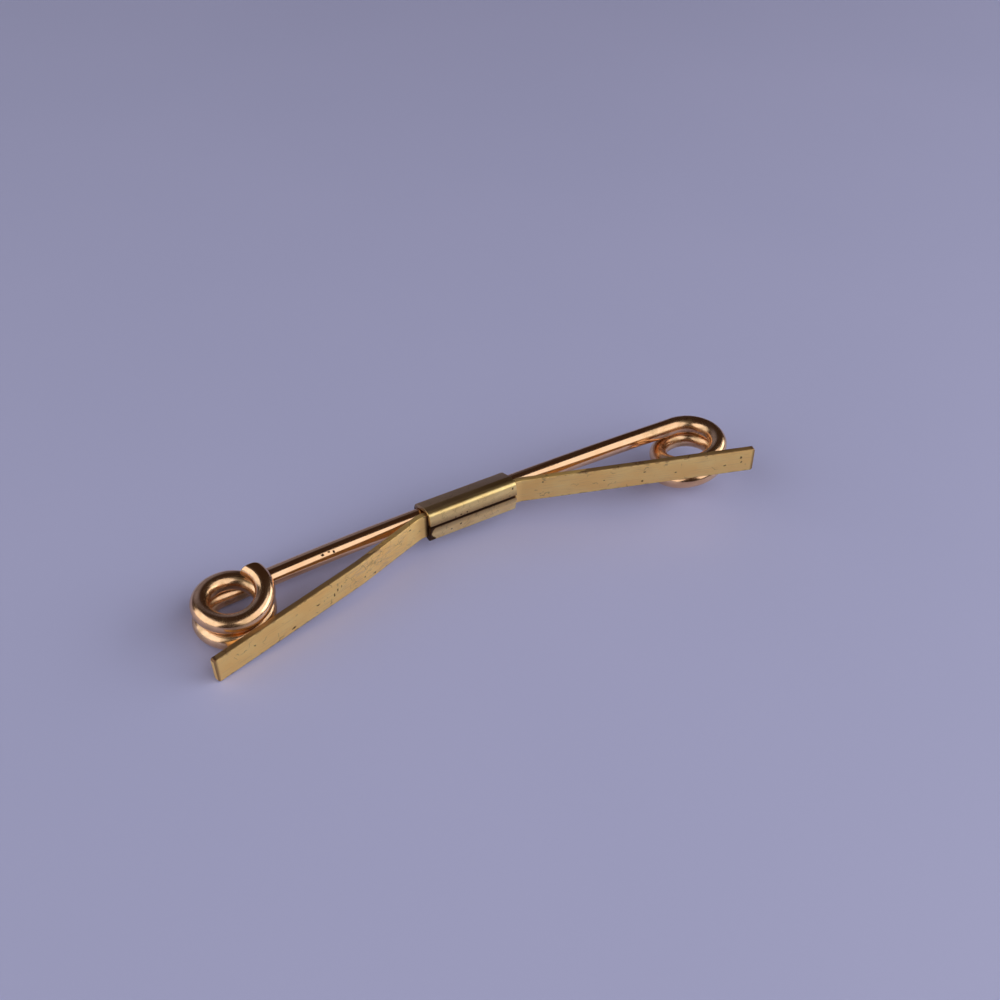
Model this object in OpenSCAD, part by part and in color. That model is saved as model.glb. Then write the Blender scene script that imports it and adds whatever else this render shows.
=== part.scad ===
// Collar bar: a round wire with a coiled eye at each end, a flat spring strip in front of it,
// and a sheet clasp that is crimped round the middle of both. Each end of the bar grips one
// collar leaf between the strip's arm and the eye behind it.
// Millimetres. The origin is the middle of the clasp's flat front face, +X runs along the bar,
// +Y goes back to the wire and +Z is the eyes' axis.

/* [Wire] */
// Diameter of the round wire
wire_d = 1.8; // [1.5:0.1:2.1]
// Distance between the middles of the two eyes
eye_span = 49.6; // [46:0.4:51.2]
// Radius of an eye, to the middle of its wire
eye_r = 3; // [2.7:0.1:3.4]
// Turns that the wire makes in an eye
eye_turns = 1.85; // [1.6:0.05:1.9]
// Clear space between one turn of an eye and the next
turn_gap = 0.42; // [0.41:0.01:0.6]
// Share of a turn after which the wire starts to climb over itself
climb_start = 0.4; // [0.3:0.05:0.5]
// How far the wire sags from the clasp to the left eye
left_sag = 0.8; // [0:0.1:1]
// How far the wire sags from the clasp to the right eye
right_sag = 0.45; // [0:0.05:1]
// How much is broken off the edge of the wire's cut ends
end_break = 0.15; // [0.05:0.05:0.3]

/* [Spring strip] */
// Length of the strip from tip to tip
strip_len = 57; // [55:0.5:64]
// Width of the strip
strip_w = 2.7; // [2.3:0.1:3.1]
// Thickness of the strip
strip_t = 0.6; // [0.4:0.05:0.7]
// Distance from the clasp's mouth to the strip's bend
bend_out = 0.8; // [0.6:0.1:1.6]
// Inner radius of the strip's bend
bend_r = 1.6; // [1:0.1:2.4]
// Distance from the middle of the bar to an arm's knee
knee_at = 13; // [11:0.5:16]
// Radius of the slow curve at the knee
knee_r = 12; // [8:1:20]
// How far the left arm's knee stands in front of a straight arm
left_bow = 0.3; // [-0.3:0.05:0.4]
// How far the right arm's knee stands in front of a straight arm
right_bow = -0.15; // [-0.3:0.05:0.4]
// Radius of the corners at the strip's tips
tip_r = 0.25; // [0.1:0.05:0.8]
// Space left between an arm and its eye when the arm is shut
nip_gap = 0.05; // [0.04:0.01:0.2]

/* [Clasp] */
// Length of the clasp along the bar
clasp_len = 9.5; // [7:0.25:12]
// Thickness of the clasp's sheet
clasp_wall = 0.42; // [0.26:0.04:0.5]
// Width of the seam where the two flaps meet on the front
seam_w = 0.1; // [0.05:0.01:0.3]
// How far the seam lies under the middle of the front
seam_drop = 0.25; // [0.25:0.05:0.6]
// Radius of the lower flap's two corners at the seam
tab_r = 0.6; // [0.2:0.05:0.7]
// Radius of the upper flap's two corners at the seam
flap_r = 0.3; // [0.1:0.05:0.7]

/* [Fits] */
// Space between the clasp, the strip and the wire where they are pressed together
press_gap = 0.03; // [0.02:0.01:0.05]
// Running clearance round the end of an arm
pivot_gap = 0.03; // [0.02:0.01:0.06]

/* [Hidden] */

// Places across the bar, from the clasp's front face back
strip_front = clasp_wall + press_gap;
strip_y = strip_front + strip_t / 2;
strip_back = strip_front + strip_t;
wire_y = strip_back + press_gap + wire_d / 2;
mouth = clasp_len / 2;

// Sides round the wire, rings to a turn and rings along the straight
wire_sides = 16;
turn_rings = 32;
straight_rings = 16;
// Steps in a bent corner, and in the clasp's wide bend round the wire
corner_steps = 8;
back_steps = 24;
// Facets round a pin, a hollow or a rounded corner
round_facets = 48;
// How far a cutter runs past what it cuts
past = 0.5;

// The climb ends where a turn is complete, over the wire that comes in.
// An S-shaped climb is half as steep again in its middle as it is on average.
climb_run = 2 * PI * eye_r * (1 - climb_start);
climb_slope = 1.5 * (wire_d + turn_gap) / climb_run;
turn_rise = (wire_d + turn_gap) * sqrt(1 + climb_slope * climb_slope);

function unit(v) = v / norm(v);
function left_of(v) = [-v.y, v.x];
function turned(v, a) = [v.x * cos(a) - v.y * sin(a), v.x * sin(a) + v.y * cos(a)];
function arc(centre, r, from, to, steps) =
    [for (i = [0:steps]) centre + turned([r, 0], from + (to - from) * i / steps)];

// Rise of the eye's wire after some turns, in turns: level, then an S-shaped climb
function climb(q) = q * q * (3 - 2 * q);
function rise_at(turns) =
    let (whole = floor(turns), part = turns - whole)
    whole + climb(max(0, part - climb_start) / (1 - climb_start));

// Middle of the wire in an eye after some turns, before it sags; drawn for the left eye, and
// turned half round for the right one
function eye_point(turns) =
    let (a = 90 + 360 * turns)
    [eye_r * cos(a) - eye_span / 2, wire_y - eye_r + eye_r * sin(a), turn_rise * rise_at(turns)];
function half_turned(p) = [-p.x, p.y, -p.z];

// Height of the straight wire: level in the clasp, then an S-shaped sag that ends level at the eye
function height_at(x) =
    let (out = max(0, abs(x) - mouth) / (eye_span / 2 - mouth))
    -climb(out) * (x < 0 ? left_sag : right_sag);

eye_steps = ceil(eye_turns * turn_rings);
eye = [for (i = [0:eye_steps]) eye_point(eye_turns * i / eye_steps)];
left_eye = [for (p = eye) p - [0, 0, left_sag]];
right_eye = [for (i = [eye_steps:-1:0]) half_turned(eye[i]) - [0, 0, right_sag]];
straight = [for (i = [1:straight_rings - 1])
    let (x = eye_span * (0.5 - i / straight_rings))
    [x, wire_y, height_at(x)]];
wire_path = concat(right_eye, straight, left_eye);

// Least distance between the wire's surface and itself, past the half turn that follows a point
function self_gap(path, skip) =
    min([for (i = [0:len(path) - skip - 1]) for (j = [i + skip:len(path) - 1])
        norm(path[i] - path[j])]) - wire_d;
eye_gap = self_gap(wire_path, turn_rings / 2);
echo(str("Least gap of the wire to itself in mm: ", eye_gap));

// A round tube along a path that is never steep, as rings of points joined by triangles
module wire_along(path, d) {
    last = len(path) - 1;
    heading = [for (i = [0:last]) unit(path[min(i + 1, last)] - path[max(i - 1, 0)])];
    across = [for (h = heading) unit([h.y, -h.x, 0])];
    ends = [path[0] - end_break * heading[0], path[last] + end_break * heading[last]];
    middles = concat([ends[0]], path, [ends[1]]);
    sides = concat([across[0]], across, [across[last]]);
    ups = [for (i = [0:last + 2]) cross(sides[i], heading[min(max(i - 1, 0), last)])];
    rings = len(middles);
    points = [for (i = [0:rings - 1])
        let (r = i == 0 || i == rings - 1 ? d / 2 - end_break : d / 2)
        for (k = [0:wire_sides - 1])
            let (a = 360 * k / wire_sides)
            middles[i] + r * cos(a) * sides[i] + r * sin(a) * ups[i]];
    skin = [for (i = [0:rings - 2]) for (k = [0:wire_sides - 1])
        let (m = (k + 1) % wire_sides, a = i * wire_sides, b = a + wire_sides)
        each [[a + k, a + m, b + m], [a + k, b + m, b + k]]];
    caps = [for (k = [1:wire_sides - 2])
        let (b = (rings - 1) * wire_sides)
        each [[0, k + 1, k], [b, b + k, b + k + 1]]];
    polyhedron(points, concat(skin, caps), convexity = 8);
}

module wire_bar() {
    color([0.80, 0.52, 0.36]) wire_along(wire_path, wire_d);
}

// What rounds a plate's square corner. The corner is at the origin, and the plate lies
// on its -X and -Z side, with its thickness along Y.
module corner_cut(r, thickness, clear) {
    depth = thickness + 2 * past;
    difference() {
        translate([-r, -depth / 2, -r]) cube([r + clear, depth, r + clear]);
        translate([-r, 0, -r]) rotate([90, 0, 0])
            cylinder(h = depth + past, r = r, center = true, $fn = round_facets);
    }
}

// One side of a bent corner at b, on the way from a to c; off is the distance to the way's left.
// A corner that turns by less than the least turn is one point.
least_turn = 0.01;
function bent_corner(a, b, c, r, off) =
    let (
        in = unit(b - a),
        out = unit(c - b),
        turn = atan2(cross(in, out), in * out),
        side = turn < 0 ? -1 : 1,
        middle = b - r * tan(abs(turn) / 2) * in + side * r * left_of(in),
        start = atan2(-side * in.x, side * in.y))
    abs(turn) < least_turn
        ? [b + off * left_of(in)]
        : arc(middle, r - side * off, start, start + turn, corner_steps);

// An arm is drawn in its own plane: how far out from the middle, and how far in front of the wire
root = [mouth, wire_y - strip_y];
bend = root + [bend_out, 0];
eye_middle = [eye_span / 2, eye_r];
reach = eye_r + wire_d / 2 + nip_gap + strip_t / 2;

// Steepness of the straight line from a point that passes just in front of the eye
function tip_slope(from) =
    let (way = eye_middle - from)
    tan(atan2(way.y, way.x) + asin(reach / norm(way)));

module spring_arm(bow) {
    knee = bend + (knee_at - bend.x) * [1, tip_slope(bend)] + [0, bow];
    slope = tip_slope(knee);
    tip = knee + (strip_len / 2 - knee_at) * [1, slope];
    function side_line(off) = concat(
        [root + [0, off]],
        bent_corner(root, bend, knee, bend_r + strip_t / 2, off),
        bent_corner(bend, knee, tip, knee_r, off),
        [tip + off * left_of(unit(tip - knee))]);
    front = side_line(strip_t / 2);
    back = side_line(-strip_t / 2);
    color([0.79, 0.62, 0.43]) translate([0, wire_y, 0]) mirror([0, 1, 0]) {
        difference() {
            linear_extrude(strip_w, center = true)
                polygon(concat(front, [for (i = [len(back) - 1:-1:0]) back[i]]));
            for (m = [0, 1]) mirror([0, 0, m])
                translate([tip.x, tip.y, strip_w / 2]) rotate(atan(slope))
                    corner_cut(tip_r, strip_t, past);
        }
        translate([root.x, root.y, 0])
            cylinder(h = strip_w, d = strip_t, center = true, $fn = round_facets);
    }
}

module left_spring_arm() {
    mirror([1, 0, 0]) spring_arm(left_bow);
}

module right_spring_arm() {
    spring_arm(right_bow);
}

// The stretch of the strip that the clasp holds; each end is hollowed for the round end of an arm
module spring_centre() {
    color([0.79, 0.62, 0.43]) difference() {
        translate([0, strip_y, 0]) cube([clasp_len, strip_t, strip_w], center = true);
        for (x = [-mouth, mouth])
            translate([x, strip_y, 0]) cylinder(
                h = strip_w + past, r = strip_t / 2 + pivot_gap, center = true, $fn = round_facets);
    }
}

// The clasp's sheet is drawn as seen along the bar. From the seam it goes up the front, tightly
// round the strip's two upper corners, round the wire and back below them in the same way.
front_corner = [strip_front, strip_w / 2];
back_corner = [strip_back, strip_w / 2];
wire_middle = [wire_y, 0];
back_r = wire_d / 2 + press_gap;

// Angle by which the sheet falls from the strip's back corner to the wire
corner_to_wire = wire_middle - back_corner;
sheet_fall = atan2(corner_to_wire.y, corner_to_wire.x)
    + asin((back_r - press_gap) / norm(corner_to_wire));

// Its inner face for off = 0 and its outer face for off = clasp_wall, from flap to flap
function sheet_face(off) =
    let (
        lean = 90 + sheet_fall,
        over = concat(
            arc(front_corner, press_gap + off, 180, 90, corner_steps),
            arc(back_corner, press_gap + off, 90, lean, corner_steps)),
        under = [for (i = [len(over) - 1:-1:0]) [over[i].x, -over[i].y]])
    concat(over, arc(wire_middle, back_r + off, lean, -lean, back_steps), under);

module clasp() {
    inner = sheet_face(0);
    upper_edge = seam_w / 2 - seam_drop;
    lower_edge = -seam_w / 2 - seam_drop;
    outline = concat(
        [[0, upper_edge]], sheet_face(clasp_wall), [[0, lower_edge], [clasp_wall, lower_edge]],
        [for (i = [len(inner) - 1:-1:0]) inner[i]], [[clasp_wall, upper_edge]]);
    color([0.80, 0.68, 0.40]) difference() {
        rotate([90, 0, 90]) linear_extrude(clasp_len, center = true) polygon(outline);
        for (m = [0, 1]) mirror([m, 0, 0]) {
            translate([mouth, 0, lower_edge]) corner_cut(tab_r, clasp_wall, seam_w / 2);
            translate([mouth, 0, upper_edge]) mirror([0, 0, 1])
                corner_cut(flap_r, clasp_wall, seam_w / 2);
        }
    }
}

wire_bar();
clasp();
spring_centre();
left_spring_arm();
right_spring_arm();
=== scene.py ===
# %% [markdown]
# # A collar bar: round wire, spring strip and crimped clasp
#
# The CAD model of this collar bar is exact but bare: a straight wire, level eyes and sharp sheet.
# This lesson dresses it. Each piece is made again from the stock that the real one is bent from,
# and gets the small sags, broken edges, draw lines, scratches and tarnish of an old bar. All
# lengths are in metres, and a size in millimetres is written as a number times `mm`.
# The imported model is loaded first, because every new piece has to sit exactly where it is.

# %% Load the frame
import math

import bmesh
import bpy
from mathutils import Matrix, Vector


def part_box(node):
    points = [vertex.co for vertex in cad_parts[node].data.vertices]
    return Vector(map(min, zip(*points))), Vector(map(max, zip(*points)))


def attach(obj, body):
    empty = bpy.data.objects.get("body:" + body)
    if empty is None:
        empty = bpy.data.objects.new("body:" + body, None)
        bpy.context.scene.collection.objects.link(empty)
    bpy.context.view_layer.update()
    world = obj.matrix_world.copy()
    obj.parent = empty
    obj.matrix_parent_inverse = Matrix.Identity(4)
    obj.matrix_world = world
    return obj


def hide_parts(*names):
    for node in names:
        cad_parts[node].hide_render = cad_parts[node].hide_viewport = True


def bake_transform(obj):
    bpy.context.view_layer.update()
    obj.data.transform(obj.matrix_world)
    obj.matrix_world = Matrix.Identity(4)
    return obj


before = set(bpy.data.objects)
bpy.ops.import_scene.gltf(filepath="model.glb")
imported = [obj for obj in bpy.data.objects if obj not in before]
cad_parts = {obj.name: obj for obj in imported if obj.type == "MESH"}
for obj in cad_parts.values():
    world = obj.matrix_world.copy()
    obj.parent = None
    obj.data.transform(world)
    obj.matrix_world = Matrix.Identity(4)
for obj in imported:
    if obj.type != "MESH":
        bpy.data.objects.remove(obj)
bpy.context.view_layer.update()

# %% [markdown]
# ## Sizes
# Sizes are read off the CAD model where it shows them: the clasp gives the mouths from which the
# arms and the wire come out, the gripped middle gives the strip, and the wire gives the eyes.
# The rest are the gauges of the stock and the bend radii, which a box can't show.

# %% Sizes from the frame and of the stock
mm = 0.001
clasp_low, clasp_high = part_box("clasp")
grip_low, grip_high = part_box("spring_centre")
wire_low, wire_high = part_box("wire_bar")
tip_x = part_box("right_spring_arm")[1].x

mouth = clasp_high.x
strip_w = grip_high.z - grip_low.z
strip_t = grip_high.y - grip_low.y
strip_y = (grip_high.y + grip_low.y) / 2
wire_r = 0.9 * mm
wire_y = wire_high.y - wire_r
eye_r = 3.0 * mm
eye_x = wire_high.x - eye_r - wire_r
wall = 0.42 * mm
snug = 0.03 * mm
print(f"mouth {mouth / mm:.2f}, strip {strip_w / mm:.2f} x {strip_t / mm:.2f}, eyes at {eye_x / mm:.2f} mm")

# %% [markdown]
# ## The camera
# The camera stands 120 mm away, in front, above and to the left. Its place, turn and lens were
# found by fitting the wire's, the strip's and the clasp's edges to the photograph's.

# %% Camera
CAMERA_PLACE = (-41.62 * mm, -79.23 * mm, 80.50 * mm)
CAMERA_TURN = (48.594, 0.182, -29.527)
LENS = 44.73


def add_camera():
    bpy.ops.object.camera_add(location=CAMERA_PLACE, rotation=[math.radians(a) for a in CAMERA_TURN])
    camera = bpy.context.object
    camera.data.sensor_width = 36
    camera.data.lens = LENS
    camera.data.clip_start = 1 * mm
    bpy.context.scene.camera = camera
    return camera


add_camera()
print("camera at", [round(v / mm, 1) for v in CAMERA_PLACE], "mm")

# %% [markdown]
# ## Hands for the bench
# A few small helpers do what a hand does in the window: take hold of one piece, pick some of its
# edges by where they lie, and turn or fold what is picked. Run from a script, the turn and spin
# tools go the other way round from the right-hand rule, so the helpers put that right.

# %% Helpers to pick and turn
TOUCHING = 0.002 * mm
NEARBY = 0.01 * mm


def only(piece):
    """Makes a piece the only one that is selected, and the active one."""
    bpy.ops.object.select_all(action="DESELECT")
    piece.select_set(True)
    bpy.context.view_layer.objects.active = piece


def pick(piece, kind, test):
    """In edit mode, selects the vertices, edges or faces that pass a test and returns their number."""
    bpy.ops.mesh.select_mode(type={"verts": "VERT", "edges": "EDGE", "faces": "FACE"}[kind])
    bpy.ops.mesh.select_all(action="DESELECT")
    mesh = bmesh.from_edit_mesh(piece.data)
    found = [part for part in getattr(mesh, kind) if test(part)]
    for part in found:
        part.select_set(True)
    mesh.select_flush_mode()
    bmesh.update_edit_mesh(piece.data)
    return len(found)


def fold(angle, about, axis, steps):
    """Sweeps what is picked round a line through a point, by the right-hand rule, in degrees."""
    bpy.ops.mesh.spin(steps=steps, angle=-math.radians(angle), center=about, axis=axis)


def turn(angle, about, axis):
    """Turns what is picked about X, Y or Z through a point, by the right-hand rule, in degrees."""
    bpy.ops.transform.rotate(value=-math.radians(angle), orient_axis=axis, center_override=about)


def pull(by):
    """Extrudes what is picked by a distance along X, Y and Z."""
    bpy.ops.mesh.extrude_region_move(TRANSFORM_OT_translate={"value": tuple(by)})


def settle_normals():
    """Merges doubles and turns every face outwards."""
    bpy.ops.mesh.select_all(action="SELECT")
    bpy.ops.mesh.remove_doubles(threshold=TOUCHING)
    bpy.ops.mesh.normals_make_consistent(inside=False)


def break_edges(piece, width, segments=3, sharper_than=30):
    """Rounds every sharp edge of a piece a little, as tumbling and plating do."""
    bevel = piece.modifiers.new("broken edges", "BEVEL")
    bevel.width = width
    bevel.segments = segments
    bevel.limit_method = "ANGLE"
    bevel.angle_limit = math.radians(sharper_than)
    bevel.harden_normals = False
    bpy.ops.object.modifier_apply(modifier=bevel.name)


def smooth(angle=35):
    bpy.ops.object.shade_smooth_by_angle(angle=math.radians(angle))


def faces_of(piece):
    return len(piece.data.polygons)


# %% [markdown]
# ## The wire's route
# The real wire is wound round a pin at each end. It goes level for the first two fifths of a
# turn, then climbs on top of itself, so that the turns touch. On this bar the wire sags a little
# from the clasp to each eye, the eyes lean, and the left eye is wound tighter than the right one.
# The route is worked out as one formula, because a hand-placed curve would never wind evenly.

# %% Route of the wire
EYE_TURNS = 1.85
CLIMB_START = 0.4
TURN_RISE = 1.895 * mm
RINGS_PER_MM = 4
SOFTENED = 1.2 * mm
EYES = {
    "left": dict(side=-1, r=eye_r - 0.12 * mm, sag=0.80 * mm, lean=3.73, tip=0.83),
    "right": dict(side=1, r=eye_r + 0.06 * mm, sag=0.45 * mm, lean=2.65, tip=0.62),
}


def climb(turns):
    """How far the wire has climbed over itself after some turns, in turns."""
    whole = math.floor(turns)
    part = max(0, turns - whole - CLIMB_START) / (1 - CLIMB_START)
    return whole + part * part * (3 - 2 * part)


def eye_point(eye, length):
    """Middle of the wire at a length past the start of an eye; a length below 0 is on the straight."""
    side = eye["side"]
    if length <= 0:
        out = max(0, 1 + length / (eye_x - mouth))
        return Vector((side * (eye_x + length), wire_y, -eye["sag"] * out * out))
    turns = length / (2 * math.pi * eye["r"])
    angle = 2 * math.pi * turns
    place = Vector((side * eye["r"] * math.sin(angle), eye["r"] * (math.cos(angle) - 1), 0))
    place.z = -side * TURN_RISE * climb(turns)
    place.rotate(Matrix.Rotation(math.radians(-eye["tip"]), 3, "X"))
    place.rotate(Matrix.Rotation(math.radians(-side * eye["lean"]), 3, "Y"))
    return place + Vector((side * eye_x, wire_y, -eye["sag"]))


def eye_route(eye):
    """Points from the middle of the bar to the free end of an eye, with their heights averaged."""
    step = 1 * mm / RINGS_PER_MM
    reach = EYE_TURNS * 2 * math.pi * eye["r"]
    count = round((eye_x + reach) / step)
    places = [-eye_x + (eye_x + reach) * i / count for i in range(count + 1)]
    points = []
    for place in places:
        point = eye_point(eye, place)
        span = min(SOFTENED, reach - place)
        point.z = sum(eye_point(eye, place + span * k / 4).z for k in range(-4, 5)) / 9
        points.append(point)
    return points


left_route = eye_route(EYES["left"])
right_route = eye_route(EYES["right"])
route = right_route[:0:-1] + left_route
route_length = sum((b - a).length for a, b in zip(route, route[1:]))
print(f"wire {route_length / mm:.1f} mm long, {len(route)} points")

# %% [markdown]
# ## The wire
# A cylinder as long as the route is the straight length of stock. It is divided into short rings
# and its two ends are broken, as a file leaves them. A Curve modifier then does the winding: it
# carries each ring along the route. A bevelled curve would be quicker, but its ends are plain
# discs, and it can't carry the map along the wire that the draw lines follow. The cutters took the
# end of the left eye off at a slant, shorter on the outside of the turn. Which side of the straight
# stock ends up there was measured on a wound one.

# %% Straight stock, cut to length
WIRE_SIDES = 40
RING_CUTS = (23, 19)
END_BREAK = 0.16 * mm
END_SPOT = 0.45 * wire_r
SPOT_HEM = 0.01 * mm
SLANT = 30
CUT_BACK = 0.03 * mm
OUT_OF_THE_TURN = Vector((0, 0.65, -0.76))


def wire_stock():
    """A straight ringed rod along X, cut off square at its start and at a slant at its end."""
    uncut = route_length + wire_r
    bpy.ops.object.select_all(action="DESELECT")
    bpy.ops.mesh.primitive_cylinder_add(
        vertices=WIRE_SIDES, radius=wire_r, depth=uncut, end_fill_type="NGON",
        location=(uncut / 2, 0, 0), rotation=(0, math.pi / 2, 0))
    rod = bpy.context.object
    rod.name = "eyed_wire"
    bpy.ops.object.transform_apply(location=True, rotation=True, scale=True)
    bpy.ops.object.mode_set(mode="EDIT")
    bpy.ops.mesh.select_all(action="SELECT")
    slope = math.radians(SLANT)
    bpy.ops.mesh.bisect(
        plane_co=(route_length - CUT_BACK, 0, 0), use_fill=True, clear_outer=True,
        plane_no=Vector((math.cos(slope), 0, 0)) + math.sin(slope) * OUT_OF_THE_TURN)
    for cuts in RING_CUTS:
        pick(rod, "edges", lambda e: abs(e.verts[0].co.x - e.verts[1].co.x) > wire_r)
        bpy.ops.mesh.subdivide(number_cuts=cuts)
    pick(rod, "faces", lambda f: len(f.verts) > 4)
    bpy.ops.mesh.inset(thickness=END_SPOT)
    bpy.ops.mesh.bevel(offset=SPOT_HEM, segments=1)
    bpy.ops.object.mode_set(mode="OBJECT")
    return rod


wire = wire_stock()
only(wire)
break_edges(wire, END_BREAK, segments=4, sharper_than=50)
print("stock:", faces_of(wire), "faces,", round(wire.dimensions.x / mm, 1), "mm long")

# %% [markdown]
# The draw lines have to follow the wire, so a map is written while the stock is still straight:
# how far along and how far round each face lies. Then the stock is wound.

# %% Map and winding
def map_along(rod):
    """Writes how far along and how far round the wire each face lies, in millimetres, to a map."""
    layer = rod.data.uv_layers.active or rod.data.uv_layers.new(name="along")
    layer.name = "along"
    for face in rod.data.polygons:
        middle = math.atan2(face.center.z, face.center.y)
        for corner in face.loop_indices:
            place = rod.data.vertices[rod.data.loops[corner].vertex_index].co
            around = math.atan2(place.z, place.y)
            around += 2 * math.pi * round((middle - around) / (2 * math.pi))
            layer.data[corner].uv = (place.x / mm, around * wire_r / mm)


def wind(rod, points):
    """Bends straight stock along a route."""
    jig = bpy.data.curves.new("route", "CURVE")
    jig.dimensions = "3D"
    jig.twist_mode = "MINIMUM"
    line = jig.splines.new("POLY")
    line.points.add(len(points) - 1)
    for spot, point in zip(line.points, points):
        spot.co = (*point, 1)
    holder = bpy.data.objects.new("route", jig)
    bpy.context.scene.collection.objects.link(holder)
    only(rod)
    bend = rod.modifiers.new("wind", "CURVE")
    bend.object = holder
    bend.deform_axis = "POS_X"
    bpy.ops.object.modifier_apply(modifier=bend.name)
    bpy.data.objects.remove(holder)


map_along(wire)
wind(wire, route)
only(wire)
smooth(40)
print("wire:", faces_of(wire), "faces")

# %% [markdown]
# ## The spring strip
# The strip is one flat length that stands on edge, pinched by the clasp in its middle. Each arm
# leaves the clasp, bends forward, runs straight to a slow knee and then lies just in front of its
# eye. It is made as two halves that meet inside the clasp, where no one sees them. A half starts
# as the strip's cross-section and is drawn out and folded like the real one: extrude for a straight
# run, spin for a bend.

# %% Course of an arm
BEND_OUT = 0.8 * mm
BEND_R = 1.9 * mm
KNEE_X = 13 * mm
KNEE_R = 12 * mm
BOWS = {"left": 0.34 * mm, "right": 0.02 * mm}
RISES = {"left": -0.54 * mm, "right": 0.11 * mm}
bend_at = Vector((mouth + BEND_OUT, strip_y))


def way_past_eye(start, eye):
    """Angle of the straight way from a point that passes just in front of an eye, in degrees."""
    centre = Vector((eye_x, wire_y - eye["r"]))
    way = centre - start
    reach = eye["r"] + wire_r + snug + strip_t / 2
    return math.degrees(math.atan2(way.y, way.x) - math.asin(reach / way.length))


def arm_course(name):
    """The two slopes of an arm and its knee, as seen from above with the arm on the right."""
    eye = EYES[name]
    first = way_past_eye(bend_at, eye)
    run = KNEE_X - bend_at.x
    knee = bend_at + Vector((run, run * math.tan(math.radians(first)) - BOWS[name]))
    first = math.degrees(math.atan2(knee.y - bend_at.y, run))
    return first, knee, way_past_eye(knee, eye)


for name in EYES:
    first, knee, last = arm_course(name)
    print(f"{name} arm: {first:.2f} degrees to the knee at y {knee.y / mm:.2f} mm, then {last:.2f}")

# %% [markdown]
# Both halves are drawn on the right side of the bar. The left one is then mirrored to its own side.
# Cuts every millimetre give the bend near the clasp more faces.

# %% Strip halves
BEND_STEPS = 8
KNEE_STEPS = 10
TIP_CORNER = 0.25 * mm
EDGE_ROUND = 0.07 * mm
CUTS_AT = range(5, 28)


def heading(angle):
    return Vector((math.cos(math.radians(angle)), math.sin(math.radians(angle)), 0))


def strip_half(name):
    """Half of the strip, from the middle of the bar to one tip."""
    first, knee, last = arm_course(name)
    bpy.ops.object.select_all(action="DESELECT")
    bpy.ops.mesh.primitive_plane_add(size=1, location=(0, strip_y, 0), rotation=(0, math.pi / 2, 0))
    half = bpy.context.object
    half.name = f"{name}_strip"
    half.scale = (strip_w, strip_t, 1)
    bpy.ops.object.transform_apply(location=True, rotation=True, scale=True)
    bpy.ops.object.mode_set(mode="EDIT")
    bpy.ops.mesh.select_mode(type="FACE")
    bpy.ops.mesh.select_all(action="SELECT")

    bend_reach = BEND_R * math.tan(math.radians(abs(first)) / 2)
    pull((bend_at.x - bend_reach, 0, 0))
    fold(first, (bend_at.x - bend_reach, strip_y - BEND_R, 0), (0, 0, 1), BEND_STEPS)

    change = last - first
    knee_reach = KNEE_R * math.tan(math.radians(abs(change)) / 2)
    start = Vector((*bend_at, 0)) + heading(first) * bend_reach
    end = Vector((*knee, 0)) - heading(first) * knee_reach
    pull(end - start)
    bow_side = 1 if change > 0 else -1
    fold(change, end + bow_side * KNEE_R * heading(first + 90), (0, 0, 1), KNEE_STEPS)

    past_knee = Vector((*knee, 0)) + heading(last) * knee_reach
    pull(heading(last) * (tip_x - past_knee.x) / math.cos(math.radians(last)))
    settle_normals()
    pick(half, "edges", lambda e: all(v.co.x > tip_x - strip_t / 2 for v in e.verts)
         and abs(e.verts[0].co.z - e.verts[1].co.z) < NEARBY)
    bpy.ops.mesh.bevel(offset=TIP_CORNER, segments=5)
    for place in CUTS_AT:
        bpy.ops.mesh.select_all(action="SELECT")
        bpy.ops.mesh.bisect(plane_co=(place * mm, 0, 0), plane_no=(1, 0, 0))
    pick(half, "verts", lambda v: v.co.x > mouth)
    turn(-math.degrees(math.atan2(RISES[name], tip_x - mouth)), (mouth, strip_y, 0), "Y")
    bpy.ops.object.mode_set(mode="OBJECT")

    only(half)
    break_edges(half, EDGE_ROUND)
    if EYES[name]["side"] < 0:
        half.scale = (-1, 1, 1)
        bpy.ops.object.transform_apply(location=True, rotation=True, scale=True)
        bpy.ops.object.mode_set(mode="EDIT")
        settle_normals()
        bpy.ops.object.mode_set(mode="OBJECT")
    smooth(30)
    return half


strips = {name: strip_half(name) for name in EYES}
for name, half in strips.items():
    print(half.name, faces_of(half), "faces")

# %% [markdown]
# ## The clasp
# The clasp is a small blank of thin brass that is folded round the strip and the wire, with its
# two flaps pressed down on the front. The blank starts as the upper flap, a flat plane. Its free
# edge is then folded round the strip's corners, round the wire and back, one spin for each bend,
# and ends as the lower flap. Folding an edge makes the bends truly round, where a bevelled box
# would leave the sheet thick at the corners.

# %% The blank and its folds
SEAM_Z = 0.26 * mm
SEAM_HALF = 0.09 * mm
FLAP_CORNER = 0.3 * mm
TAB_CORNER = 0.6 * mm
CROWN = 0.24 * mm
SHEET_BREAK = 0.09 * mm
CORNER_STEPS = 6
LEAN_STEPS = 3
ROUND_STEPS = 28
front_bend = Vector((0, grip_low.y, grip_high.z))
back_bend = Vector((0, grip_high.y, grip_high.z))
to_wire = Vector((wire_y - back_bend.y, -back_bend.z))


def sheet_slope():
    """Slope of the sheet from the strip's back corner to the wire, in degrees; it falls, so below 0."""
    return math.degrees(math.atan2(to_wire.y, to_wire.x) + math.asin(wire_r / to_wire.length))


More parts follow.
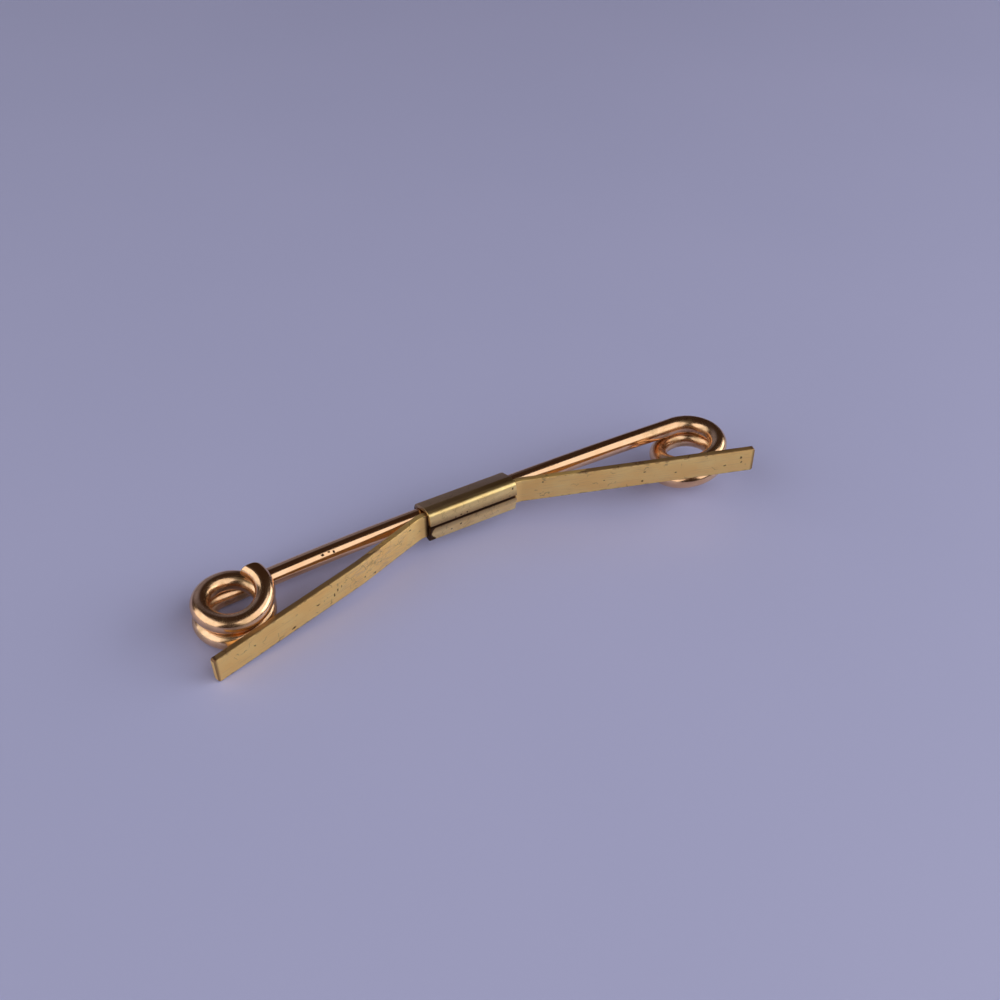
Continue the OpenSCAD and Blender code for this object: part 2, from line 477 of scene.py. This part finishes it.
def folded_blank():
    """The inner face of the clasp's sheet, from the upper flap's edge round to the lower flap's."""
    top_edge = SEAM_Z + SEAM_HALF
    height = front_bend.z - top_edge
    bpy.ops.object.select_all(action="DESELECT")
    bpy.ops.mesh.primitive_plane_add(
        size=1, location=(0, wall, top_edge + height / 2), rotation=(math.pi / 2, 0, 0))
    blank = bpy.context.object
    blank.name = "crimped_clasp"
    blank.scale = (2 * mouth, height, 1)
    bpy.ops.object.transform_apply(location=True, rotation=True, scale=True)
    bpy.ops.object.mode_set(mode="EDIT")
    pick(blank, "edges", lambda e: all(v.co.z > front_bend.z - NEARBY for v in e.verts))

    slope = sheet_slope()
    across = (1, 0, 0)
    down = Vector((0, math.cos(math.radians(slope)), math.sin(math.radians(slope))))
    slope_run = math.sqrt(to_wire.length ** 2 - wire_r ** 2)
    fold(-90, front_bend, across, CORNER_STEPS)
    pull((0, back_bend.y - front_bend.y, 0))
    fold(slope, back_bend, across, LEAN_STEPS)
    pull(down * slope_run)
    fold(2 * (-90 - slope), (0, wire_y, 0), across, ROUND_STEPS)
    pull(Vector((0, -down.y, down.z)) * slope_run)
    fold(slope, (0, back_bend.y, -back_bend.z), across, LEAN_STEPS)
    pull((0, front_bend.y - back_bend.y, 0))
    fold(-90, (0, front_bend.y, -front_bend.z), across, CORNER_STEPS)
    pull((0, 0, front_bend.z + SEAM_Z - SEAM_HALF))
    return blank


print("the sheet falls", round(-sheet_slope(), 1), "degrees from the strip's corner to the wire")

# %% [markdown]
# Pressed sheet springs back a little, so both flaps are crowned: they stand off most at the seam.
# Their corners are snipped round, small ones on the upper flap and large ones on the lower one.
# Then the blank gets its thickness outwards, away from the strip and the wire.

# %% Flaps, corners and thickness
def bulge_flaps(piece):
    """Lets both flaps spring off the strip at the seam, so that they are slightly rounded."""
    pick(piece, "edges", lambda e: all(v.co.y < front_bend.y - snug / 2 for v in e.verts)
         and abs(e.verts[0].co.z - e.verts[1].co.z) > 0.5 * mm)
    bpy.ops.mesh.subdivide(number_cuts=7)
    for edge in (SEAM_Z + SEAM_HALF, SEAM_Z - SEAM_HALF):
        pick(piece, "verts", lambda v: abs(v.co.z - edge) < NEARBY and v.co.y < front_bend.y)
        bpy.ops.transform.translate(
            value=(0, -CROWN, 0), use_proportional_edit=True, use_proportional_connected=True,
            proportional_edit_falloff="INVERSE_SQUARE", proportional_size=front_bend.z)


def round_corner(piece, x, z, radius):
    """Rounds one corner of a flap, as snips do."""
    pick(piece, "verts", lambda v: abs(v.co.x - x) < NEARBY and abs(v.co.z - z) < NEARBY
         and v.co.y < front_bend.y)
    bpy.ops.mesh.bevel(offset=radius, segments=6, affect="VERTICES")


def make_clasp():
    piece = folded_blank()
    bulge_flaps(piece)
    for x in (-mouth, mouth):
        round_corner(piece, x, SEAM_Z + SEAM_HALF, FLAP_CORNER)
        round_corner(piece, x, SEAM_Z - SEAM_HALF, TAB_CORNER)
    settle_normals()
    sheet = bmesh.from_edit_mesh(piece.data)
    if sum(f.normal.y for f in sheet.faces if f.calc_center_median().y < front_bend.y) > 0:
        bpy.ops.mesh.flip_normals()
    bpy.ops.object.mode_set(mode="OBJECT")
    only(piece)
    thicken = piece.modifiers.new("sheet", "SOLIDIFY")
    thicken.thickness = wall
    thicken.offset = 1
    thicken.use_even_offset = True
    bpy.ops.object.modifier_apply(modifier=thicken.name)
    break_edges(piece, SHEET_BREAK, sharper_than=50)
    smooth(50)
    return piece


clasp = make_clasp()
print("clasp:", faces_of(clasp), "faces, deep", round(clasp.dimensions.y / mm, 2), "mm")

# %% [markdown]
# ## The grain of rolled sheet
# Sheet and strip are rolled, so they have a grain along the bar that spreads light across it. The
# grain needs a direction on every face. A plain map gives it: along the bar one way, across the
# face the other way, in millimetres. On the strip, across is counted from its middle line, so
# that the same map also tells where the painted dark long edges are.

# %% Map of the grain
def map_grain(piece, rise=0.0):
    """Maps faces along and across the bar, and end faces along Y; rise is how high the tip stands."""
    layer = piece.data.uv_layers.new(name="grain")
    for face in piece.data.polygons:
        sides = [abs(part) for part in face.normal]
        along, across = (1, 2) if sides[0] > 0.9 else (0, 2 if sides[1] > sides[2] else 1)
        for corner in face.loop_indices:
            place = piece.data.vertices[piece.data.loops[corner].vertex_index].co
            raised = rise * max(0, abs(place.x) - mouth) / (tip_x - mouth) if across == 2 else 0
            layer.data[corner].uv = (place[along] / mm, (place[across] - raised) / mm)
    print(piece.name, "grain map on", len(layer.data), "corners")


map_grain(clasp)
for name, half in strips.items():
    map_grain(half, RISES[name])

# %% [markdown]
# ## Finishes
# All three metals are made from the same few nodes. A finish is a metallic shader whose colour
# wanders a little, whose roughness follows fine scratches and whose surface is dented by pits.

# %% Node helpers
def node(tree, kind, inputs=(), **settings):
    """Adds a shader node; an input may be a value or another node's output."""
    made = tree.nodes.new("ShaderNode" + kind)
    for name, value in settings.items():
        setattr(made, name, value)
    for name, value in dict(inputs).items():
        if isinstance(value, bpy.types.NodeSocket):
            tree.links.new(value, made.inputs[name])
        else:
            made.inputs[name].default_value = value
    return made


def new_metal(name):
    material = bpy.data.materials.new(name)
    material.use_nodes = True
    tree = material.node_tree
    shader = tree.nodes["Principled BSDF"]
    shader.inputs["Metallic"].default_value = 1
    return material, tree, shader


def blend_colours(tree, share, first, second):
    mixed = node(tree, "Mix", {0: share, 6: first, 7: second}, data_type="RGBA")
    return mixed.outputs[2]


def stepped(tree, value, low, high, to_low=0.0, to_high=1.0):
    return node(tree, "MapRange", {"Value": value, "From Min": low, "From Max": high,
                                   "To Min": to_low, "To Max": to_high}).outputs[0]


def times(tree, first, second):
    return node(tree, "Math", {0: first, 1: second}, operation="MULTIPLY").outputs[0]


def plus(tree, first, second):
    return node(tree, "Math", {0: first, 1: second}, operation="ADD", use_clamp=True).outputs[0]


def millimetres(tree):
    """The piece's own place, in millimetres."""
    place = node(tree, "TexCoord").outputs["Object"]
    return node(tree, "VectorMath", {0: place, 1: (1 / mm,) * 3}, operation="MULTIPLY").outputs[0]


def stretched_noise(tree, place, scale, detail=3.0, rough=0.6):
    spread = node(tree, "Mapping", {"Vector": place, "Scale": scale}).outputs[0]
    return node(tree, "TexNoise", {"Vector": spread, "Scale": 1.0, "Detail": detail,
                                   "Roughness": rough}).outputs[0]


def dent(tree, shader, height, strength, distance):
    bump = node(tree, "Bump", {"Height": height, "Strength": strength, "Distance": distance})
    tree.links.new(bump.outputs[0], shader.inputs["Normal"])


def colour_and_roughness(tree, shader, colour, roughness):
    tree.links.new(colour, shader.inputs["Base Color"])
    tree.links.new(roughness, shader.inputs["Roughness"])


# %% [markdown]
# ### Marks
# Two kinds of mark are needed on every piece. Pits are small round holes in the plate, scattered by
# the cells of a Voronoi pattern. Spots are larger marks at given places, because an old
# bar is known by them. A little noise moves their outlines, so that none is a clean ellipse.

# %% Pits and spots
WANDER = 0.35


def pits(tree, place, per_mm, size, rarity):
    """Small round pits: 1 in a pit, 0 outside. Rarity is the share of cells without one."""
    cells = node(tree, "TexVoronoi", {"Vector": place, "Scale": per_mm, "Randomness": 1.0})
    chance = node(tree, "SeparateColor", {0: cells.outputs["Color"]}).outputs[0]
    inside = stepped(tree, cells.outputs["Distance"], size, size * 0.55)
    return times(tree, inside, stepped(tree, chance, rarity, rarity + 0.02))


def wavered(tree, place, scale, detail, amount):
    """Moves a place about by noise, up to an amount in millimetres, so that no mark looks drawn."""
    waver = node(tree, "TexNoise", {"Vector": place, "Scale": scale, "Detail": detail})
    moved = {0: waver.outputs["Color"], 1: (amount,) * 3, 2: place}
    return node(tree, "VectorMath", moved, operation="MULTIPLY_ADD").outputs[0]


def spots(tree, place, table):
    """Soft-edged marks: 1 inside any of them. The table has a middle and three half sizes each."""
    place = wavered(tree, place, 3.0, 2.0, WANDER)
    total = None
    for middle, halves in table:
        middle = [part + WANDER / 2 for part in middle]
        away = node(tree, "VectorMath", {0: place, 1: middle}, operation="SUBTRACT").outputs[0]
        away = node(tree, "VectorMath", {0: away, 1: halves}, operation="DIVIDE").outputs[0]
        far = node(tree, "VectorMath", {0: away}, operation="LENGTH").outputs["Value"]
        inside = stepped(tree, far, 1.0, 0.55)
        total = inside if total is None else plus(tree, total, inside)
    return total


# %% [markdown]
# ### Rose-gold wire
# Drawn wire has fine lines along its length from the die, under a copper-rich plate that is
# polished and worn. The lines follow the wire round its eyes because they read the map. Winding
# dulled the plate on the eyes, and brown stains have settled there. Three deep pits lie close
# together on the left half.

# %% Wire finish
ROSE_GOLD = (0.91, 0.60, 0.375, 1)
ROSE_GOLD_DEEP = (0.84, 0.51, 0.285, 1)
BROWN_STAIN = (0.46, 0.31, 0.15, 1)
WIRE_PIT = (0.05, 0.025, 0.015, 1)
DULL_EYES = [((side * eye_x / mm, -1.1, 0), (5.5, 5.5, 5)) for side in (-1, 1)]
WIRE_MARKS = [
    ((-15.22, 1.37, 0.43), (0.22, 0.2, 0.15)),
    ((-14.58, 1.40, 0.49), (0.16, 0.2, 0.13)),
    ((-14.09, 1.29, 0.41), (0.14, 0.2, 0.13)),
]


def wire_finish():
    material, tree, shader = new_metal("rose_gold_wire")
    along = node(tree, "UVMap", uv_map="along").outputs[0]
    here = millimetres(tree)
    lines = stretched_noise(tree, along, (0.22, 11, 1))
    clouds = stretched_noise(tree, here, (0.35, 0.35, 0.35), 4)
    dull = spots(tree, here, DULL_EYES)
    stains = stretched_noise(tree, here, (0.8, 0.8, 0.8), 5)
    stain = times(tree, dull, stepped(tree, stains, 0.42, 0.68))
    pitted = plus(tree, pits(tree, here, 0.9, 0.13, 0.93), spots(tree, here, WIRE_MARKS))

    gold = blend_colours(tree, stepped(tree, clouds, 0.35, 0.65), ROSE_GOLD, ROSE_GOLD_DEEP)
    gold = blend_colours(tree, times(tree, stain, 0.8), gold, BROWN_STAIN)
    rough = plus(tree, stepped(tree, lines, 0.3, 0.75, 0.10, 0.22), times(tree, dull, 0.06))
    rough = plus(tree, rough, plus(tree, times(tree, pitted, 0.5), times(tree, stain, 0.12)))
    colour_and_roughness(tree, shader, blend_colours(tree, pitted, gold, WIRE_PIT), rough)
    dent(tree, shader, plus(tree, times(tree, lines, 0.15), times(tree, pitted, -0.8)), 0.25, 0.03 * mm)
    return material


# %% [markdown]
# ### Satin gold strip
# The strip's plate is worn satin over rolled metal, so it needs two more marks: the grain, which
# spreads light across the strip, and hairlines, the fine branching scratches of old plate. They are
# the edges of a Voronoi pattern that noise has bent.

# %% Grain and hairlines
def set_grain(tree, shader, amount):
    """Spreads reflections across the grain, as fine rolling lines along the bar do."""
    shader.inputs["Anisotropic"].default_value = amount
    shader.inputs["Anisotropic Rotation"].default_value = 0.25
    way = node(tree, "Tangent", direction_type="UV_MAP", uv_map="grain").outputs[0]
    tree.links.new(way, shader.inputs["Tangent"])


def hairlines(tree, place, scale, width, cover):
    """Thin branching scratches: 1 on a line. Cover is the share of the surface that has them."""
    bent = wavered(tree, place, 1.3, 3.0, 1.2)
    cells = node(tree, "TexVoronoi", {"Vector": bent, "Scale": scale}, feature="DISTANCE_TO_EDGE")
    line = stepped(tree, cells.outputs["Distance"], width, width * 0.4)
    patch = node(tree, "TexNoise", {"Vector": place, "Scale": 0.8, "Detail": 2.0}).outputs[0]
    bare = 0.62 - 0.25 * cover
    return times(tree, line, stepped(tree, patch, bare, bare + 0.06))


# %% [markdown]
# The strip is darkened in four places: a painted dark reflection along its long edges, where the grain
# map tells how far a place is from the middle line, darker tips and a painted shade at the clasp's
# mouth, wear in a rubbed stretch between the clasp and the left knee, and nicks that lie where the real
# strip has them.

# %% Wear and painted edge shade of the strip
STRIP_MARKS = [
    ((-16.02, -3.05, -0.53), (0.10, 0.3, 0.22)),
    ((-15.60, -2.93, -0.20), (0.10, 0.3, 0.20)),
    ((-15.13, -2.80, -0.04), (0.09, 0.3, 0.16)),
    ((-12.56, -2.06, -0.80), (0.11, 0.3, 0.11)),
    ((-17.81, -3.54, -0.46), (0.24, 0.3, 0.10)),
    ((-20.54, -4.30, -1.30), (0.28, 0.3, 0.12)),
    ((-24.59, -5.42, -0.39), (0.14, 0.3, 0.12)),
    ((-6.85, -0.02, 0.76), (0.20, 0.3, 0.10)),
    ((17.61, -3.56, 0.37), (0.13, 0.3, 0.10)),
    ((20.72, -4.57, -0.19), (0.12, 0.3, 0.12)),
    ((25.62, -6.18, -0.20), (0.18, 0.3, 0.09)),
    ((27.17, -6.69, 0.60), (0.12, 0.3, 0.20)),
    ((27.24, -6.71, -0.01), (0.12, 0.3, 0.18)),
    ((13.59, -2.24, 0.02), (0.12, 0.3, 0.09)),
    ((7.67, -0.27, 0.81), (0.16, 0.3, 0.09)),
]
RUBBED = [((-11, -1.2, 0), (6.5, 3, 2.2))]


def edge_and_mouth_shade_and_tips(tree, here):
    """1 on the painted dark reflection along the strip's long edges, on its darker tips and on the painted
    shade in the clasp's mouth.
    """
    grain = node(tree, "SeparateXYZ", {0: node(tree, "UVMap", uv_map="grain").outputs[0]})
    from_clasp = node(tree, "Math", {0: grain.outputs[0]}, operation="ABSOLUTE").outputs[0]
    from_middle = node(tree, "Math", {0: grain.outputs[1]}, operation="ABSOLUTE").outputs[0]
    edge_wobble = stretched_noise(tree, here, (1.6, 1.6, 1.6), 4)
    # Painted dark reflection: a thin band along both long edges, made ragged by noise.
    edge_reflection_reach = plus(tree, times(tree, from_middle, 0.5), stepped(tree, edge_wobble, 0.42, 0.62, 0.0, 0.07))
    # Painted shade on the strip where it goes into the clasp's mouth.
    mouth_shade = stepped(tree, from_clasp, 5.1, 4.8)
    # The last fraction of a millimetre at each tip, with its end face, is darkened.
    tips = stepped(tree, from_clasp, 28.2, 28.38, 0, 0.8)
    return plus(tree, times(tree, stepped(tree, edge_reflection_reach, 0.665, 0.70), 0.75), plus(tree, mouth_shade, tips))


def scored_lines(tree, here):
    """1 on a hairline: few of them anywhere, and many in the rubbed stretch."""
    many = times(tree, hairlines(tree, here, 0.9, 0.035, 0.7), spots(tree, here, RUBBED))
    return plus(tree, hairlines(tree, here, 0.5, 0.025, 0.2), many)


# %% [markdown]
# The finish lays these over each other from the bottom up: clouded gold, rubbed gold, long thin
# scratches, the painted dark edges, darker tips, painted mouth shade and hairlines, and the nicks last.
# A satin surface isn't a clean mirror, so it is a little less metallic than the wire.

# %% Strip finish
SATIN_GOLD = (1.0, 0.70, 0.27, 1)
SATIN_GOLD_DEEP = (0.98, 0.61, 0.21, 1)
RUBBED_GOLD = (0.62, 0.42, 0.27, 1)
SCRATCHED_GOLD = (0.55, 0.34, 0.18, 1)
# Brown for the hairlines, and for the painted dark edges and painted mouth shade.
BROWN_SCRATCH_AND_SHADE = (0.26, 0.14, 0.07, 1)
STRIP_PIT = (0.10, 0.05, 0.02, 1)


def strip_finish():
    material, tree, shader = new_metal("satin_gold_strip")
    shader.inputs["Metallic"].default_value = 0.88
    set_grain(tree, shader, 0.75)
    here = millimetres(tree)
    lines = stretched_noise(tree, here, (0.35, 2.5, 9))
    clouds = stretched_noise(tree, here, (0.25, 0.25, 0.5), 4)
    rubs = stretched_noise(tree, here, (0.9, 1.2, 7.0), 4, 0.7)
    rubbed = times(tree, spots(tree, here, RUBBED), stepped(tree, rubs, 0.50, 0.62))
    thin = stepped(tree, stretched_noise(tree, here, (0.16, 1, 16), 2), 0.60, 0.66)
    pitted = plus(tree, pits(tree, here, 0.8, 0.12, 0.9), spots(tree, here, STRIP_MARKS))
    scored = scored_lines(tree, here)
    # The brown layer holds the painted edge reflection and mouth shade, the darker tips and the real
    # hairlines.
    brown_and_shade = plus(tree, edge_and_mouth_shade_and_tips(tree, here), times(tree, scored, 0.5))

    gold = blend_colours(tree, stepped(tree, clouds, 0.35, 0.65), SATIN_GOLD, SATIN_GOLD_DEEP)
    gold = blend_colours(tree, times(tree, rubbed, 0.55), gold, RUBBED_GOLD)
    gold = blend_colours(tree, times(tree, thin, 0.4), gold, SCRATCHED_GOLD)
    gold = blend_colours(tree, brown_and_shade, gold, BROWN_SCRATCH_AND_SHADE)
    rough = plus(tree, stepped(tree, lines, 0.3, 0.75, 0.36, 0.48), times(tree, pitted, 0.3))
    colour_and_roughness(tree, shader, blend_colours(tree, pitted, gold, STRIP_PIT), rough)
    relief = plus(tree, times(tree, lines, 0.3), times(tree, rubbed, 0.3))
    cut = times(tree, plus(tree, pitted, scored), -0.8)
    dent(tree, shader, plus(tree, relief, cut), 0.3, 0.03 * mm)
    return material


# %% [markdown]
# ### Brass clasp
# The clasp is plain brass sheet. It is yellow and rubbed bright along its folds, and browner and
# speckled where fingers don't reach: towards the seam between the flaps. How far a place lies from
# the seam is all that the tarnish needs to know. A painted black shade lies in the seam itself and
# round the rounded left end of the lower flap, and a painted shade browns the top behind the front fold.

# %% Dirt and painted shade of the clasp
CLASP_MARKS = [
    ((-2.01, -0.15, 0.55), (0.13, 0.3, 0.11)),
    ((-1.42, -0.15, 0.66), (0.10, 0.3, 0.09)),
    ((-0.79, -0.15, 0.70), (0.12, 0.3, 0.09)),
    ((-1.51, -0.17, -0.63), (0.16, 0.3, 0.10)),
    ((-2.45, -0.14, -0.90), (0.12, 0.3, 0.12)),
    ((4.31, 0.01, 1.30), (0.12, 0.3, 0.10)),
]
# Inside this ellipse the lower flap's end gets no painted rim shade.
TAB_CLEAR_OF_SHADE = [((-3.6, 0.0, -0.58), (1.12, 2.0, 0.98))]


def seam_distance(tree, height):
    below = node(tree, "Math", {0: height, 1: SEAM_Z / mm}, operation="SUBTRACT").outputs[0]
    return node(tree, "Math", {0: below}, operation="ABSOLUTE").outputs[0]


def tab_rim_shade(tree, here, place):
    """1 on the painted shade along the rounded left end of the lower flap."""
    outside = stepped(tree, spots(tree, here, TAB_CLEAR_OF_SHADE), 0.35, 0.1)
    at_left = stepped(tree, place.outputs[0], -4.05, -4.2)
    below_seam = stepped(tree, place.outputs[2], SEAM_Z / mm, SEAM_Z / mm - 0.1)
    return times(tree, times(tree, outside, at_left), below_seam)


def clasp_dirt_and_shade(tree, here, place, from_seam, tarnish):
    """Specks in the tarnish, the painted black shade in the seam and on the lower flap's left rim, faint
    hairlines and the chosen marks.
    """
    specks = times(tree, times(tree, pits(tree, here, 4.0, 0.28, 0.6), tarnish), 0.8)
    faint = times(tree, hairlines(tree, here, 1.3, 0.05, 0.5), 0.22)
    # The black band along the seam and the left rim of the lower flap are painted shade; the faint
    # hairlines are real scratches.
    lines = plus(tree, stepped(tree, from_seam, 0.20, 0.14), plus(tree, tab_rim_shade(tree, here, place), faint))
    return plus(tree, specks, plus(tree, lines, spots(tree, here, CLASP_MARKS)))


# %% [markdown]
# Bright and deep brass make the ground. Brown tarnish covers it near the seam, a painted shade
# browns the top, which lies behind the front fold, and the dirt with the painted seam shade comes last.

# %% Clasp finish
BRASS = (1.0, 0.76, 0.34, 1)
BRASS_DEEP = (0.90, 0.62, 0.25, 1)
# Brown for the tarnish near the seam and for the painted shade on the top.
BROWN_TARNISH_AND_SHADE = (0.34, 0.19, 0.08, 1)
# Black for the real specks and marks, and for the painted shade in the seam and on the tab's rim.
BLACK_DIRT_AND_SHADE = (0.07, 0.035, 0.02, 1)


def clasp_finish():
    material, tree, shader = new_metal("brass_clasp_sheet")
    set_grain(tree, shader, 0.6)
    here = millimetres(tree)
    place = node(tree, "SeparateXYZ", {0: here})
    lines = stretched_noise(tree, here, (0.4, 4, 8))
    clouds = stretched_noise(tree, here, (0.5, 0.5, 0.9), 5)
    from_seam = seam_distance(tree, place.outputs[2])
    ragged = plus(tree, times(tree, from_seam, 0.5), times(tree, clouds, 0.25))
    tarnish = stepped(tree, ragged, 0.55, 0.22)
    # Painted shade: the top and back of the clasp, behind the front fold, are browned.
    painted_top_shade = times(tree, stepped(tree, place.outputs[1], 0.35, 0.65), 0.75)
    dirt_and_shade = clasp_dirt_and_shade(tree, here, place, from_seam, tarnish)

    brass = blend_colours(tree, stepped(tree, clouds, 0.35, 0.65), BRASS, BRASS_DEEP)
    brown_and_shade = plus(tree, times(tree, tarnish, 0.8), painted_top_shade)
    brass = blend_colours(tree, brown_and_shade, brass, BROWN_TARNISH_AND_SHADE)
    rough = plus(tree, stepped(tree, lines, 0.3, 0.75, 0.27, 0.38), times(tree, dirt_and_shade, 0.2))
    colour_and_roughness(tree, shader, blend_colours(tree, dirt_and_shade, brass, BLACK_DIRT_AND_SHADE), rough)
    dent(tree, shader, plus(tree, times(tree, lines, 0.2), times(tree, dirt_and_shade, -0.6)), 0.25, 0.03 * mm)
    return material


# %% [markdown]
# ### Each piece gets its finish
# Every piece has one finish in one slot.

# %% Finishes on the pieces
FINISHES = {"wire": wire_finish(), "strip": strip_finish(), "clasp_sheet": clasp_finish()}
pieces = {wire: "wire", clasp: "clasp_sheet", **{half: "strip" for half in strips.values()}}
for piece, slot in pieces.items():
    piece.data.materials.clear()
    piece.data.materials.append(FINISHES[slot])
    print(piece.name, "wears", FINISHES[slot].name)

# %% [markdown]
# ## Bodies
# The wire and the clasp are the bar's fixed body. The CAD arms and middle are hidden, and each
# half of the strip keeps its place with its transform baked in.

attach(wire, "bar")
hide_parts("wire_bar")
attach(clasp, "bar")
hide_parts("clasp")
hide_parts("spring_centre")
for name, half in strips.items():
    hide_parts(f"{name}_spring_arm")
    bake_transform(half)

# %% [markdown]
# ## The table it lies on
# The bar rests on three points: the end of the right eye, the left eye and the front of the left
# arm. The floor is the plane through them, found as the face on the underside of the hull round
# all pieces that lies under the middle of the metal.

# %% Floor
FLOOR_RADIUS = 1.5
PALE = (0.55, 0.57, 0.88, 1)
PALER = (0.59, 0.60, 0.92, 1)


def resting_plane():
    """A point and the upward normal of the plane on which the pieces come to rest."""
    cloud = bmesh.new()
    middle = Vector()
    weight = 0
    for piece in pieces:
        for face in piece.data.polygons:
            middle += face.center * face.area
            weight += face.area
        for vertex in piece.data.vertices:
            cloud.verts.new(vertex.co)
    middle /= weight
    hull = bmesh.ops.convex_hull(cloud, input=cloud.verts)["geom"]
    best = None
    for face in (part for part in hull if isinstance(part, bmesh.types.BMFace)):
        if face.normal.z > -0.5:
            continue
        flat = [v.co.xy for v in face.verts]
        turns = [(b - a).cross(middle.xy - a) for a, b in zip(flat, flat[1:] + flat[:1])]
        if all(t >= 0 for t in turns) or all(t <= 0 for t in turns):
            best = (face.verts[0].co.copy(), -face.normal.copy())
    cloud.free()
    return best


def lay_floor():
    point, normal = resting_plane()
    tilt = math.degrees(normal.angle((0, 0, 1)))
    print("rests at", [round(v / mm, 2) for v in point], "mm, tilted by", round(tilt, 2), "degrees")
    bpy.ops.object.select_all(action="DESELECT")
    bpy.ops.mesh.primitive_circle_add(vertices=64, radius=FLOOR_RADIUS, fill_type="NGON")
    floor = bpy.context.object
    floor.name = "table_top"
    floor.rotation_euler = normal.to_track_quat("Z", "Y").to_euler()
    floor.location = point
    bpy.ops.object.transform_apply(location=True, rotation=True, scale=True)
    material = bpy.data.materials.new("pale_table")
    material.use_nodes = True
    tree = material.node_tree
    shader = tree.nodes["Principled BSDF"]
    here = millimetres(tree)
    soft = stretched_noise(tree, here, (0.02, 0.02, 0.02), 2)
    tree.links.new(blend_colours(tree, soft, PALE, PALER), shader.inputs["Base Color"])
    shader.inputs["Roughness"].default_value = 0.45
    floor.data.materials.append(material)


lay_floor()

# %% [markdown]
# ## Soft light
# Polished wire shows its lamps as bands, so the lamps are large and plain. A wide one in front to
# the right draws the bright band along the wire. One at the left gives the eyes their second
# crescent. A low one far to the right lights the left arm's front across its grain.

# %% Lamps
def add_softbox(azimuth, elevation, distance, width, height, radiance):
    """An area lamp that faces the bar. Azimuth is to the right of the front, in degrees."""
    away = Vector((0, -1, 0))
    away.rotate(Matrix.Rotation(math.radians(-elevation), 3, "X"))
    away.rotate(Matrix.Rotation(math.radians(azimuth), 3, "Z"))
    facing = away.to_track_quat("Z", "Y").to_euler()
    bpy.ops.object.light_add(type="AREA", location=away * distance, rotation=facing)
    lamp = bpy.context.object
    lamp.data.shape = "RECTANGLE"
    lamp.data.size = width
    lamp.data.size_y = height
    lamp.data.energy = radiance * math.pi * width * height
    return lamp


add_softbox(azimuth=32, elevation=37, distance=0.5, width=0.8, height=0.54, radiance=1.15)
add_softbox(azimuth=-95, elevation=30, distance=0.5, width=0.7, height=0.46, radiance=1.3)
add_softbox(azimuth=72, elevation=17, distance=0.5, width=0.5, height=0.2, radiance=2.2)
print("lamps:", len(bpy.data.lights))

# %% [markdown]
# ## The room
# The dark bands on the wire are the room. It is dim and brown, with a faint cool glow low at the
# back that greys the top of the wire's left half. Seen directly, it is only a pale backdrop.

# %% Room
ROOM_BROWN = (0.034, 0.020, 0.014, 1)
COOL_GLOW = (0.20, 0.20, 0.27, 1)
GLOW_WAY = (0.0, 0.924, 0.383)
BACKDROP = (0.42, 0.42, 0.56, 1)


def dark_room():
    """A dim brown world with a glow in one direction, and a plain backdrop for the camera."""
    room = bpy.data.worlds.new("studio")
    room.use_nodes = True
    tree = room.node_tree
    way = node(tree, "TexCoord").outputs["Generated"]
    facing = node(tree, "VectorMath", {0: way, 1: GLOW_WAY}, operation="DOT_PRODUCT").outputs["Value"]
    colour = blend_colours(tree, stepped(tree, facing, 0.88, 0.98), ROOM_BROWN, COOL_GLOW)
    seen = node(tree, "LightPath").outputs["Is Camera Ray"]
    shown = blend_colours(tree, seen, colour, BACKDROP)
    tree.links.new(shown, tree.nodes["Background"].inputs[0])
    return room


bpy.context.scene.world = dark_room()
bpy.context.scene.view_settings.view_transform = "Standard"
